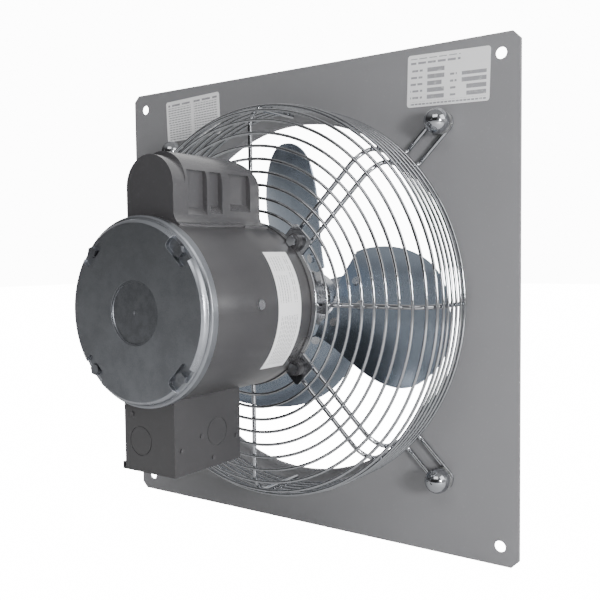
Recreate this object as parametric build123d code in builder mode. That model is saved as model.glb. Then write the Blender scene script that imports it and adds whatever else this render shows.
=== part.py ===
"""Panel-mounted exhaust hood fan: a square panel with a drawn orifice, a wire
guard standing on four dome nuts, a capacitor-start motor bolted to the guard
and a three-bladed propeller on its shaft, turning in the orifice.

Millimetres. The origin is the centre of the panel's bolt pattern, on the rear
face of its sheet. +X is right, +Z is up and -Y points into the room, towards
the motor. "Depth" below is the distance into the room, so depth = -Y.
"""

import os
from math import asin, cos, degrees, radians, sin, sqrt

from build123d import *

# ---- driving dimensions -------------------------------------------------

panel_side = 432.0
panel_corner = 6.3
sheet = 1.6
hem_width = 8.0
bolt_spacing = 400.0
bolt_hole = 9.5
orifice_radius = 164.0
orifice_bend = 2.4
orifice_collar = 2.8

guard_radius = 173.7
guard_standoff = 73.5
guard_shoulder = 22.0
ring_wire = 2.6
rib_wire = 3.8
weld_gap = 0.02
front_ring_outer = 147.2
front_ring_pitch = 11.1
front_ring_count = 9
shoulder_ring_angles = (17.0, 45.0, 70.0)
side_ring_first = 10.8
side_ring_pitch = 8.0
side_ring_count = 6
rib_end_standoff = 6.0
strut_spread = 16.0
foot_radius = 212.0
foot_bend = 6.0

stud_thread = 6.0
stud_head = 8.2
nut_dome = 10.6
nut_height = 18.0
washer_radius = 10.0
washer_sheet = 1.6

tab_sheet = 2.0
tab_length = 20.0
tab_width = 24.0
motor_bolt_overhang = 4.6
motor_bolt = 5.0
clinch_nut_radius = 4.1
motor_bolt_head = 4.62

motor_shell_radius = 70.4
motor_shell_sheet = 1.2
motor_shell_length = 116.4
drive_rim_length = 5.2
rear_rim_overhang = 1.6
rear_rim_length = 4.4
rear_bell_length = 12.0
spigot_length = 6.0
bell_web = 4.5
bearing_bore = 17.0
bearing_outer = 40.0
bearing_width = 12.0
bearing_ball = 6.0
ball_count = 8
through_bolt_inset = 6.4
through_bolt = 5.0
rear_cap_radius = 24.5
rear_cap_sheet = 2.5

core_end_room = 61.4
rotor_radius = 37.5
air_gap = 0.5
slot_count = 24
slot_depth = 15.0
slot_width = 4.6
winding_overhang = 18.0
shaft_output = 12.7
shaft_rotor = 18.0

propeller_radius = 152.4
propeller_set_back = 25.2
blade_pitch = 30.2
blade_camber = 333.0
blade_sheet = 1.6
blade_angles = (-11.2, 108.8, 228.8)
hub_radius = 14.0
hub_length = 30.0
spider_radius = 24.0
spider_thickness = 12.0
rivet_radius = 2.4

cover_half_width = 24.5
cover_rise = 51.1
cover_front_room = 7.46
cover_rear_room = 19.44
cover_step_length = 13.0
cover_step = 3.4
cover_crown = 24.0
cover_front_radius = 27.0
cover_sheet = 1.2
cover_flange = 30.5
cover_flange_sheet = 1.6
capacitor_radius = 16.5
capacitor_end_room = 11.5
capacitor_rise = 24.6

box_half_width = 26.4
box_length = 75.6
box_rear_room = 0.84
box_fall = 51.0
box_sheet = 1.5
box_lid_sheet = 1.6
box_lid_lip = 3.0
knockout_radius = 11.1

running_clearance = 0.05
seat_gap = 0.02

# ---- derived places -----------------------------------------------------

ring_depth = sheet + guard_standoff
rib_depth = ring_depth - (ring_wire + rib_wire) / 2 - weld_gap
rib_radius = guard_radius - (ring_wire + rib_wire) / 2 - weld_gap
rib_bend = guard_shoulder - (ring_wire + rib_wire) / 2 - weld_gap
foot_depth = sheet + rib_wire / 2 + seat_gap
strut_side = strut_spread / 2
tab_depth = ring_depth + ring_wire / 2 + weld_gap
motor_face = tab_depth + tab_sheet + seat_gap
shell_front = motor_face + drive_rim_length
shell_rear = shell_front + motor_shell_length
core_length = motor_shell_length - core_end_room
motor_bolt_circle = motor_shell_radius + motor_bolt_overhang
through_bolt_circle = motor_shell_radius - through_bolt_inset
rear_rim_radius = motor_shell_radius + rear_rim_overhang
cover_front = shell_front + cover_front_room
cover_length = shell_rear - cover_rear_room - cover_front
cover_height = motor_shell_radius + cover_rise
capacitor_length = cover_length - capacitor_end_room
capacitor_height = motor_shell_radius + capacitor_rise
box_front = shell_rear - box_rear_room - box_length
box_drop = motor_shell_radius + box_fall
bell_face = shell_rear + rear_bell_length
shell_bore = motor_shell_radius - motor_shell_sheet
core_middle = (shell_front + shell_rear) / 2
core_front = core_middle - core_length / 2
core_rear = core_middle + core_length / 2
drive_bearing = motor_face + 9.0
rear_bearing = shell_rear - 9.6
bearing_pitch = (bearing_bore + bearing_outer) / 4
hub_depth = sheet - propeller_set_back
wall_span = (motor_shell_radius - 10.4, motor_shell_radius + 9.6)
diagonals = (45.0, 135.0, 225.0, 315.0)
quarters = (0.0, 90.0, 180.0, 270.0)

# A half section through the fan axis: local x is the radius, local y is the depth.
section = Plane((0, 0, 0), x_dir=(1, 0, 0), z_dir=(0, 0, -1))

finished = []


def room(depth):
    """The plane parallel to the panel at a depth, seen from the room."""
    return Plane.XZ.offset(depth)


def spoke(angle, side=0.0):
    """The plane of a half section turned to an angle, moved sideways."""
    c, s = cos(radians(angle)), sin(radians(angle))
    return Plane((0, 0, 0), x_dir=(c, 0, s), z_dir=(s, 0, -c)).offset(side)


def polar(radius, angle, depth):
    """The point at a radius, an angle and a depth."""
    return Vector(radius * cos(radians(angle)), -depth, radius * sin(radians(angle)))


def turn(*outlines, mode=Mode.ADD):
    """Turns closed outlines of (radius, depth) points about the fan axis."""
    with BuildSketch(section) as profile:
        for outline in outlines:
            with BuildLine():
                Polyline(*outline, close=True)
            make_face()
    revolve(profile.sketch, axis=Axis.Y, mode=mode)


def ring(inner, outer, front, rear):
    """The outline of a plain ring, for turn."""
    return ((inner, front), (outer, front), (outer, rear), (inner, rear))


def rod(radius, start, direction, length, mode=Mode.ADD):
    """A straight round rod from a point along a direction."""
    with Locations(Plane(start, z_dir=direction)):
        Cylinder(
            radius,
            length,
            align=(Align.CENTER, Align.CENTER, Align.MIN),
            mode=mode,
        )


def radial_rod(radius, angle, depth, inner, outer, mode=Mode.ADD):
    """A rod pointing away from the fan axis at an angle and a depth."""
    rod(radius, polar(inner, angle, depth), polar(1, angle, 0), outer - inner, mode)


def block(low, high, mode=Mode.ADD):
    """A box between two corners given as (x, depth, z)."""
    middle = [(a + b) / 2 for a, b in zip(low, high)]
    with Locations((middle[0], -middle[1], middle[2])):
        Box(*(abs(b - a) for a, b in zip(low, high)), mode=mode)


def keep(name, piece):
    """Labels a finished sub-part and keeps it for export."""
    piece.part.label = name
    finished.append(piece.part)


# ---- mounting panel -----------------------------------------------------


def build_panel():
    bend_outer = orifice_bend + sheet
    lip_radius = orifice_radius + bend_outer
    bend_depth = sheet - bend_outer
    with BuildPart() as panel:
        with BuildSketch(room(0)):
            outline = Rectangle(panel_side, panel_side)
            chamfer(outline.vertices(), panel_corner)
            Circle(lip_radius, mode=Mode.SUBTRACT)
            with GridLocations(bolt_spacing, bolt_spacing, 2, 2):
                Circle(bolt_hole / 2, mode=Mode.SUBTRACT)
            with PolarLocations(foot_radius, 4, 45):
                Circle(stud_head / 2, mode=Mode.SUBTRACT)
        extrude(amount=sheet)
        with BuildSketch(room(0)):
            outline = Rectangle(panel_side, panel_side)
            chamfer(outline.vertices(), panel_corner)
            inside = panel_side - 2 * hem_width
            Rectangle(inside, inside, mode=Mode.SUBTRACT)
        extrude(amount=-sheet)
        with BuildSketch(section):
            with BuildLine():
                centre = (lip_radius, bend_depth)
                CenterArc(centre, bend_outer, 90, 90)
                Polyline(
                    (orifice_radius, bend_depth),
                    (orifice_radius, bend_depth - orifice_collar),
                    (orifice_radius + sheet, bend_depth - orifice_collar),
                    (orifice_radius + sheet, bend_depth),
                )
                CenterArc(centre, orifice_bend, 90, 90)
                Line((lip_radius, 0), (lip_radius, sheet))
            make_face()
        revolve(axis=Axis.Y)
    keep("mounting_panel", panel)


def build_labels():
    """Two printed stickers on the panel's front, blank here."""
    for name, x, z, width, height, tilt in (
        ("rating_label", 154.0, 186.6, 74.0, 43.5, -1.8),
        ("instruction_label", -131.0, 184.4, 73.5, 42.0, 2.2),
    ):
        with BuildPart() as label:
            with BuildSketch(room(sheet)):
                with Locations(Location((x, z), tilt)):
                    RectangleRounded(width, height, 2.5)
            extrude(amount=0.2)
        keep(name, label)


# ---- wire guard ---------------------------------------------------------


def wire_rings(places):
    """Rings of guard wire at (radius, depth) places."""
    with BuildPart() as rings:
        with BuildSketch(section):
            with Locations(*places):
                Circle(ring_wire / 2)
        revolve(axis=Axis.Y)
    return rings


def build_guard_rings():
    front = [
        (front_ring_outer - front_ring_pitch * i, ring_depth)
        for i in range(front_ring_count)
    ]
    bend_radius = guard_radius - guard_shoulder
    bend_depth = ring_depth - guard_shoulder
    shoulder = [
        (
            bend_radius + guard_shoulder * sin(radians(angle)),
            bend_depth + guard_shoulder * cos(radians(angle)),
        )
        for angle in shoulder_ring_angles
    ]
    side = [
        (guard_radius, sheet + side_ring_first + side_ring_pitch * i)
        for i in range(side_ring_count)
    ]
    keep("guard_front_rings", wire_rings(front))
    keep("guard_shoulder_rings", wire_rings(shoulder))
    keep("guard_side_rings", wire_rings(side))


def build_guard_ribs():
    """Four bent wires that carry the rings straight up, down and across."""
    inner = front_ring_outer - front_ring_pitch * (front_ring_count - 1) - ring_wire
    for number, angle in enumerate(quarters, 1):
        with BuildPart() as rib:
            with BuildLine(spoke(angle)) as path:
                FilletPolyline(
                    (inner, rib_depth),
                    (rib_radius, rib_depth),
                    (rib_radius, sheet + rib_end_standoff),
                    radius=rib_bend,
                )
            with BuildSketch(Plane(path.line @ 0, z_dir=path.line % 0)):
                Circle(rib_wire / 2)
            sweep()
        keep(f"guard_rib_{number}", rib)


def build_guard_struts():
    """Four hairpins: two legs each, joined by an eye round the foot stud."""
    leg_radius = sqrt(rib_radius**2 - strut_side**2)
    inner = motor_bolt_circle - tab_length / 2
    for number, angle in enumerate(diagonals, 1):
        with BuildPart() as strut:
            for side in (-strut_side, strut_side):
                with BuildLine(spoke(angle, side)) as leg:
                    FilletPolyline(
                        (inner, rib_depth),
                        (leg_radius, rib_depth),
                        (leg_radius, foot_depth),
                        (foot_radius, foot_depth),
                        radius=(rib_bend, foot_bend),
                    )
                with BuildSketch(Plane(leg.line @ 0, z_dir=leg.line % 0)):
                    Circle(rib_wire / 2)
                sweep(path=leg.line)
            along = polar(1, angle, 0)
            eye_plane = Plane(polar(foot_radius, angle, foot_depth), x_dir=along, z_dir=(0, -1, 0))
            with BuildLine(eye_plane) as eye:
                CenterArc((0, 0), strut_side, -90, 180)
            with BuildSketch(Plane(eye.line @ 0, z_dir=eye.line % 0)):
                Circle(rib_wire / 2)
            sweep(path=eye.line)
        keep(f"guard_strut_{number}", strut)


def build_guard_feet():
    """Clinch studs in the panel, with a washer and a dome nut on each."""
    washer_depth = foot_depth + rib_wire / 2 + seat_gap
    nut_depth = washer_depth + washer_sheet + seat_gap
    bore_depth = nut_height - 6.0
    with BuildPart(room(0)) as studs:
        with PolarLocations(foot_radius, 4, 45):
            Cylinder(stud_head / 2, sheet, align=(Align.CENTER, Align.CENTER, Align.MIN))
            Cylinder(
                stud_thread / 2,
                nut_depth + bore_depth - 1.0,
                align=(Align.CENTER, Align.CENTER, Align.MIN),
            )
    keep("guard_studs", studs)
    with BuildPart() as washers:
        with BuildSketch(room(washer_depth)):
            with PolarLocations(foot_radius, 4, 45):
                Circle(washer_radius)
                Circle(stud_thread / 2 + 0.2, mode=Mode.SUBTRACT)
        extrude(amount=washer_sheet)
    keep("guard_washers", washers)
    with BuildPart(room(nut_depth)) as nuts:
        with PolarLocations(foot_radius, 4, 45):
            Cylinder(nut_dome - 1.4, 4.0, align=(Align.CENTER, Align.CENTER, Align.MIN))
        with PolarLocations(foot_radius, 4, 45):
            with Locations((0, 0, nut_height - nut_dome)):
                Sphere(nut_dome)
        split(bisect_by=room(nut_depth), keep=Keep.TOP)
        with PolarLocations(foot_radius, 4, 45):
            Cylinder(
                stud_thread / 2 + running_clearance,
                bore_depth,
                align=(Align.CENTER, Align.CENTER, Align.MIN),
                mode=Mode.SUBTRACT,
            )
    keep("guard_dome_nuts", nuts)


def build_motor_tabs():
    """Plates welded over the innermost rings, one on each strut, for the motor."""
    with BuildPart() as tabs:
        for angle in diagonals:
            along = polar(1, angle, 0)
            seat = Plane(polar(motor_bolt_circle, angle, tab_depth), x_dir=along, z_dir=(0, -1, 0))
            with BuildSketch(seat):
                RectangleRounded(tab_length, tab_width, 3.0)
                Circle(clinch_nut_radius + seat_gap, mode=Mode.SUBTRACT)
            extrude(amount=tab_sheet)
    keep("guard_motor_tabs", tabs)


# ---- motor castings and shell -------------------------------------------

ear_thickness = 5.2
ear_radius = 6.2
bolt_pad = 5.0
boss_radius = bearing_outer / 2 + 7.0
bearing_seat = bearing_outer / 2 + seat_gap
spigot_radius = shell_bore - seat_gap
pocket_floor = bell_face - 3.6
cap_floor = bell_face - rear_cap_sheet - 0.1
plug_depth = shell_rear - 50.44
plug_angle = 3.5
grommet_depth = core_rear + 12.0
grommet_hole = 8.0
cover_screw_depths = (cover_front + 8.9, shell_rear - 14.04)
cover_screw_angle = 90 + degrees(asin((cover_half_width + 3.0) / motor_shell_radius))
screw_shank = 2.0


def build_drive_bell():
    boss_front = motor_face - 6.0
    rim_outer = motor_shell_radius + 1.0
    rim_rear = shell_front - seat_gap
    spigot_rear = shell_front + spigot_length
    with BuildPart() as bell:
        turn(
            (
                (bearing_bore / 2 + 1.0, boss_front),
                (boss_radius, boss_front),
                (boss_radius, motor_face),
                (rim_outer, motor_face),
                (rim_outer, rim_rear),
                (spigot_radius, rim_rear),
                (spigot_radius, spigot_rear),
                (spigot_radius - 6.0, spigot_rear),
                (spigot_radius - 6.0, motor_face + bell_web),
                (boss_radius, motor_face + bell_web),
                (boss_radius, drive_bearing + bearing_width),
                (bearing_seat, drive_bearing + bearing_width),
                (bearing_seat, drive_bearing - seat_gap),
                (bearing_bore / 2 + 1.0, drive_bearing - seat_gap),
            )
        )
        with BuildSketch(room(motor_face)):
            for angle in diagonals:
                with Locations(Location((0, 0, 0), (0, 0, angle))):
                    with Locations((motor_bolt_circle, 0)):
                        Circle(ear_radius)
                    with Locations((motor_bolt_circle - ear_radius, 0)):
                        Rectangle(2 * ear_radius, 2 * ear_radius)
            Circle(motor_shell_radius - 2.0, mode=Mode.SUBTRACT)
        extrude(amount=ear_thickness)
        turn(
            ring(spigot_radius, motor_shell_radius + 0.2, rim_rear, rim_rear + 20),
            mode=Mode.SUBTRACT,
        )
        with BuildSketch(room(motor_face)):
            with PolarLocations(through_bolt_circle, 4, 45):
                Circle(bolt_pad)
        extrude(amount=spigot_rear - motor_face)
        for angle in diagonals:
            hole = polar(motor_bolt_circle, angle, motor_face - 10)
            rod(motor_bolt / 2 + 0.3, hole, (0, -1, 0), 40, Mode.SUBTRACT)
            hole = polar(through_bolt_circle, angle, motor_face + 2.0)
            rod(through_bolt / 2 + seat_gap, hole, (0, -1, 0), 40, Mode.SUBTRACT)
    keep("motor_drive_end_bell", bell)


def build_rear_bell():
    rim_face = shell_rear + seat_gap
    spigot_front = shell_rear - spigot_length
    inner_face = bell_face - bell_web
    bearing_floor = rear_bearing + bearing_width + 2.2
    cap_recess = rear_cap_radius + seat_gap
    with BuildPart() as bell:
        turn(
            (
                (0, bearing_floor),
                (0, cap_floor - seat_gap),
                (cap_recess, cap_floor - seat_gap),
                (cap_recess, bell_face),
                (rear_rim_radius - 5.6, bell_face),
                (rear_rim_radius - 4.4, bell_face - 1.2),
                (rear_rim_radius - 3.2, bell_face - 2.2),
                (rear_rim_radius - 2.6, bell_face - 4.6),
                (rear_rim_radius - 1.0, bell_face - 5.4),
                (rear_rim_radius, bell_face - 6.4),
                (rear_rim_radius, rim_face),
                (spigot_radius, rim_face),
                (spigot_radius, spigot_front),
                (spigot_radius - 5.0, spigot_front),
                (spigot_radius - 5.0, rim_face + 1.6),
                (spigot_radius - 11.18, inner_face),
                (boss_radius, inner_face),
                (boss_radius, rear_bearing),
                (bearing_seat, rear_bearing),
                (bearing_seat, bearing_floor),
            )
        )
        for angle in diagonals:
            notch = Plane(
                polar(through_bolt_circle + 4.0, angle, pocket_floor),
                x_dir=polar(1, angle, 0),
                z_dir=(0, -1, 0),
            )
            with BuildSketch(notch):
                RectangleRounded(20.0, 23.0, 3.0)
            extrude(amount=20, mode=Mode.SUBTRACT)
        with BuildSketch(room(spigot_front)):
            with PolarLocations(through_bolt_circle, 4, 45):
                Circle(bolt_pad)
        extrude(amount=pocket_floor - spigot_front)
        for angle in diagonals:
            hole = polar(through_bolt_circle, angle, shell_rear - 30)
            rod(through_bolt / 2 + 0.2, hole, (0, -1, 0), 60, Mode.SUBTRACT)
    keep("motor_rear_end_bell", bell)

    head = pocket_floor + seat_gap
    with BuildPart() as bolts:
        with BuildSketch(room(head)):
            with PolarLocations(through_bolt_circle, 4, 45):
                RegularPolygon(4.6, 6)
        extrude(amount=3.4)
        with BuildSketch(room(motor_face + 4.0)):
            with PolarLocations(through_bolt_circle, 4, 45):
                Circle(through_bolt / 2)
        extrude(amount=head - motor_face - 4.0)
    keep("motor_through_bolts", bolts)

    with BuildPart() as cap:
        turn(
            (
                (0, cap_floor),
                (rear_cap_radius, cap_floor),
                (rear_cap_radius, bell_face - 0.3),
                (rear_cap_radius - 1.2, bell_face - 0.3),
                (rear_cap_radius - 1.6, bell_face - 1.1),
                (1.6, bell_face - 1.1),
                (0.8, bell_face - 1.7),
                (0, bell_face - 1.7),
            )
        )
    keep("rear_bearing_cap", cap)


def build_motor_mounting():
    """Clinch nuts pressed into the guard's tabs and the bolts that enter them."""
    ear_face = motor_face + ear_thickness + seat_gap
    with BuildPart() as nuts:
        with BuildSketch(room(tab_depth - 7.0)):
            with PolarLocations(motor_bolt_circle, 4, 45):
                Circle(clinch_nut_radius)
                Circle(motor_bolt / 2 + seat_gap, mode=Mode.SUBTRACT)
        extrude(amount=7.0 + tab_sheet)
    keep("motor_clinch_nuts", nuts)
    with BuildPart() as bolts:
        with BuildSketch(room(ear_face)):
            with PolarLocations(motor_bolt_circle, 4, 45):
                RegularPolygon(motor_bolt_head, 6, rotation=30)
        extrude(amount=3.5)
        with BuildSketch(room(tab_depth - 8.5)):
            with PolarLocations(motor_bolt_circle, 4, 45):
                Circle(motor_bolt / 2)
        extrude(amount=ear_face - tab_depth + 8.5)
    keep("motor_mounting_bolts", bolts)


def build_shell():
    with BuildPart() as shell:
        turn(ring(shell_bore, motor_shell_radius, shell_front, shell_rear))
        radial_rod(2.5, plug_angle, plug_depth, *wall_span, Mode.SUBTRACT)
        radial_rod(grommet_hole, 270, grommet_depth, *wall_span, Mode.SUBTRACT)
        for depth in cover_screw_depths:
            radial_rod(screw_shank + seat_gap, cover_screw_angle, depth, *wall_span, Mode.SUBTRACT)
    keep("motor_shell", shell)

    head = motor_shell_radius + seat_gap
    with BuildPart() as plug:
        radial_rod(2.45, plug_angle, plug_depth, shell_bore, head + 0.5)
        radial_rod(3.9, plug_angle, plug_depth, head, head + 1.2)
        radial_rod(2.0, plug_angle, plug_depth, head + 0.5, head + 3, Mode.SUBTRACT)
    keep("shell_plug", plug)

    with BuildPart() as plate:
        with BuildSketch(spoke(38.5)):
            with Locations((motor_shell_radius + 0.16, shell_front + 28.96)):
                Rectangle(0.24, 30.0)
        revolve(axis=Axis.Y, revolution_arc=82)
    keep("motor_nameplate", plate)


# ---- capacitor cover ----------------------------------------------------

cover_rear = cover_front + cover_length + cover_step_length
pocket_depth = 4.6
pocket_slope = 6.0
cover_fillet = 5.0
flange_notch = (cover_front + 26.9, cover_front + 49.9)
pocket_top = cover_height - 15.0
pocket_foot = motor_shell_radius + 2.1
cover_pockets = (
    (cover_front + 12.3, cover_front + 37.9, pocket_foot + 4.5),
    (cover_rear - 55.2, cover_rear - 41.0, pocket_foot + 2.0),
    (cover_rear - 37.2, cover_rear - 16.0, pocket_foot),
)


def cover_solid(inset):
    """The capacitor cover's outside, or its inside when inset by its sheet."""
    half = cover_half_width - inset
    top = cover_height - inset
    front = cover_front + inset
    step = cover_front + cover_length - inset
    rear = cover_rear - inset
    bend = cover_front_radius - inset
    with BuildPart() as shape:
        for height, far in ((top, step), (top - cover_step, rear)):
            spring = height - cover_crown + inset
            with BuildSketch(room(front)):
                with Locations((0, spring / 2)):
                    Rectangle(2 * half, spring)
                with Locations((0, spring)):
                    Ellipse(half, cover_crown - inset)
            extrude(amount=far - front)
        with BuildSketch(Plane.YZ):
            with BuildLine():
                CenterArc((-front - bend, top - bend), bend, 0, 90)
                Polyline(
                    (-front - bend, top),
                    (-rear - 5, top),
                    (-rear - 5, 0),
                    (-front, 0),
                    (-front, top - bend),
                )
            make_face()
        extrude(amount=half + 5, both=True, mode=Mode.INTERSECT)
        deep = cover_half_width - pocket_depth - inset
        for near, far, low in cover_pockets:
            with BuildSketch(room(near - inset)) as hollow:
                for side in (-1, 1):
                    with BuildLine():
                        Polyline(
                            (side * deep, pocket_top + inset),
                            (side * (cover_half_width + 5), pocket_top + inset),
                            (side * (cover_half_width + 5), low - inset),
                            (side * cover_half_width, low - inset),
                            (side * deep, low - inset + pocket_slope),
                            close=True,
                        )
                    make_face()
            extrude(hollow.sketch, amount=far - near + 2 * inset, mode=Mode.SUBTRACT)
    return shape.part


def build_cover():
    seat = motor_shell_radius + seat_gap
    outside = cover_solid(0)
    inside = cover_solid(cover_sheet)
    with BuildPart() as flange:
        turn(ring(seat, seat + cover_flange_sheet, cover_front - 3, cover_rear))
        block((-cover_flange, 0, 0), (cover_flange, 300, 100), Mode.INTERSECT)
        near, far = flange_notch
        block((cover_flange - 1.3, near, 0), (cover_flange + 5, far, 100), Mode.SUBTRACT)
    foot = sqrt(seat**2 - cover_half_width**2) + cover_flange_sheet
    with BuildPart() as cover:
        add(outside)
        with BuildSketch(room(cover_front)) as skirt:
            for side in (-1, 1):
                with BuildLine():
                    Polyline(
                        (side * (cover_half_width - 1), foot + cover_fillet),
                        (side * cover_half_width, foot + cover_fillet),
                        (side * (cover_half_width + 1.4), foot + 1.6),
                        (side * (cover_half_width + cover_fillet), foot - 3.0),
                        (side * (cover_half_width - 1), foot - 3.0),
                        close=True,
                    )
                make_face()
        extrude(skirt.sketch, amount=cover_rear - cover_front)
        for depth in cover_screw_depths:
            head_seat = seat + cover_flange_sheet
            radial_rod(3.4, cover_screw_angle, depth, head_seat, 90, Mode.SUBTRACT)
        turn(ring(0, seat, 0, 300), mode=Mode.SUBTRACT)
        add(flange.part)
        add(inside, mode=Mode.SUBTRACT)
        for depth in cover_screw_depths:
            radial_rod(screw_shank + 0.2, cover_screw_angle, depth, *wall_span, Mode.SUBTRACT)
    keep("capacitor_cover", cover)

    under_head = seat + cover_flange_sheet + seat_gap
    with BuildPart() as screws:
        for depth in cover_screw_depths:
            radial_rod(screw_shank, cover_screw_angle, depth, seat - 6.42, under_head + 0.5)
            radial_rod(2.7, cover_screw_angle, depth, under_head, under_head + 1.6)
    keep("capacitor_cover_screws", screws)

    front = cover_front + 10.0
    axis_start = (0, -front, capacitor_height)
    with BuildPart() as capacitor:
        rod(capacitor_radius, axis_start, (0, -1, 0), capacitor_length)
    keep("start_capacitor", capacitor)
    end = front + capacitor_length + seat_gap
    with BuildPart() as terminals:
        for x in (-5.0, 5.0):
            block((x - 3.2, end, capacitor_height - 0.4), (x + 3.2, end + 8, capacitor_height + 0.4))
    keep("capacitor_terminals", terminals)
    with BuildPart() as cradle:
        block((-12, front + 10, wall_span[0]), (12, front + capacitor_length - 10, capacitor_height - 8))
        turn(ring(0, seat, 0, 300), mode=Mode.SUBTRACT)
        rod(capacitor_radius + seat_gap, axis_start, (0, -1, 0), capacitor_length, Mode.SUBTRACT)
    keep("capacitor_cradle", cradle)


# ---- conduit box --------------------------------------------------------

box_rear = box_front + box_length
box_screw_length = 4.0
lid_screw_depths = (box_front + 8.0, box_rear - 8.0)


def build_box():
    seat = motor_shell_radius + seat_gap
    floor = -box_drop + seat_gap
    wall = box_half_width - box_sheet
    side_screws = (
        ((box_half_width, -box_front - 46.0, 24.4 - box_drop), (1, 0, 0)),
        ((box_half_width, -box_front - 68.0, 17.4 - box_drop), (1, 0, 0)),
        ((box_half_width, -box_front - 5.0, 17.4 - box_drop), (1, 0, 0)),
        ((box_half_width, -box_front - 33.0, 5.4 - box_drop), (1, 0, 0)),
        ((-18.0, -box_rear, 42.4 - box_drop), (0, -1, 0)),
    )
    knockouts = (
        ((box_half_width - 0.5, -box_front - 28.0, 25.4 - box_drop), (1, 0, 0)),
        ((-9.0, -box_rear + 0.5, 22.4 - box_drop), (0, -1, 0)),
    )
    ground_place = (-box_front - 60.4, 17.4 - box_drop)
    with BuildPart() as hollow:
        block(
            (-wall, box_front + box_sheet, floor - 5),
            (wall, box_rear - box_sheet, 0),
        )
        turn(ring(0, seat + box_sheet, 0, 300), mode=Mode.SUBTRACT)
    with BuildPart() as box:
        block((-box_half_width, box_front, floor), (box_half_width, box_rear, 0))
        turn(ring(0, seat, 0, 300), mode=Mode.SUBTRACT)
        add(hollow.part, mode=Mode.SUBTRACT)
        for depth in lid_screw_depths:
            block((-6, depth - 8.0, floor), (6, depth + 8.0, floor + 2.0))
        block((-6, box_front - 20, floor - 1), (6, box_front, floor + 9), Mode.SUBTRACT)
        block((-6, box_rear, floor - 1), (6, box_rear + 20, floor + 9), Mode.SUBTRACT)
        radial_rod(grommet_hole, 270, grommet_depth, *wall_span, Mode.SUBTRACT)
        for depth in lid_screw_depths:
            rod(1.5 + seat_gap, (0, -depth, floor - 5), (0, 0, 1), 15, Mode.SUBTRACT)
        for place, way in side_screws:
            start = Vector(place) - Vector(way) * 5
            rod(1.3 + seat_gap, start, way, 10, Mode.SUBTRACT)
        for place, way in knockouts:
            with BuildSketch(Plane(place, z_dir=way)):
                Circle(knockout_radius + 0.25)
                Circle(knockout_radius - 0.25, mode=Mode.SUBTRACT)
            extrude(amount=2, mode=Mode.SUBTRACT)
        rod(1.5 + seat_gap, (-wall - 5, *ground_place), (1, 0, 0), 10, Mode.SUBTRACT)
    keep("conduit_box", box)

    with BuildPart() as screws:
        for place, way in side_screws:
            start = Vector(place) - Vector(way) * box_screw_length
            rod(1.3, start, way, box_screw_length + 0.5)
            rod(1.9, Vector(place) + Vector(way) * seat_gap, way, 0.9)
    keep("conduit_box_screws", screws)

    with BuildPart() as lid:
        block(
            (-box_half_width - box_lid_lip, box_front, -box_drop - box_lid_sheet),
            (box_half_width, box_rear, -box_drop),
        )
        block(
            (-box_half_width - box_lid_lip, box_front, -box_drop),
            (-box_half_width - box_lid_lip + 1.2, box_rear, -box_drop + 4.0),
        )
        for depth in lid_screw_depths:
            rod(1.7, (0, -depth, -box_drop - 5), (0, 0, 1), 10, Mode.SUBTRACT)
    keep("conduit_box_lid", lid)
    with BuildPart() as lid_screws:
        for depth in lid_screw_depths:
            under = -box_drop - box_lid_sheet - seat_gap
            rod(1.5, (0, -depth, under), (0, 0, 1), 7.0)
            rod(3.0, (0, -depth, under - 1.4), (0, 0, 1), 1.4)
    keep("conduit_box_lid_screws", lid_screws)

    board_face = -wall + 3.0
    posts = [
        (-box_front - 16.4 - 22.0 * (i % 2), 27.4 - box_drop - 12.0 * (i // 2))
        for i in range(4)
    ]
    with BuildPart() as board:
        block(
            (-wall + seat_gap, box_front + 8.4, 9.4 - box_drop),
            (board_face, box_front + 48.4, 33.4 - box_drop),
        )
        for y, z in posts:
            rod(2.0 + seat_gap, (-wall, y, z), (1, 0, 0), 10, Mode.SUBTRACT)
    keep("terminal_board", board)
    with BuildPart() as brass:
        for y, z in posts:
            rod(2.0, (-wall + 0.5, y, z), (1, 0, 0), 12.0)
            rod(3.8, (board_face + seat_gap, y, z), (1, 0, 0), 2.0)
    keep("terminal_posts", brass)
    with BuildPart() as ground:
        rod(1.5, (-wall - 1.0, *ground_place), (1, 0, 0), 5.0)
        rod(3.2, (-wall + seat_gap, *ground_place), (1, 0, 0), 2.0)
    keep("ground_screw", ground)

    with BuildPart() as grommet:
        radial_rod(grommet_hole - seat_gap, 270, grommet_depth, seat - 3.42, seat + 3.0)
        radial_rod(9.8, 270, grommet_depth, seat - 3.62, seat - 2.12)
        radial_rod(9.8, 270, grommet_depth, seat + box_sheet + seat_gap, seat + 3.2)
        radial_rod(5.0, 270, grommet_depth, *wall_span, Mode.SUBTRACT)
    keep("lead_grommet", grommet)


# ---- motor inside -------------------------------------------------------


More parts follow.
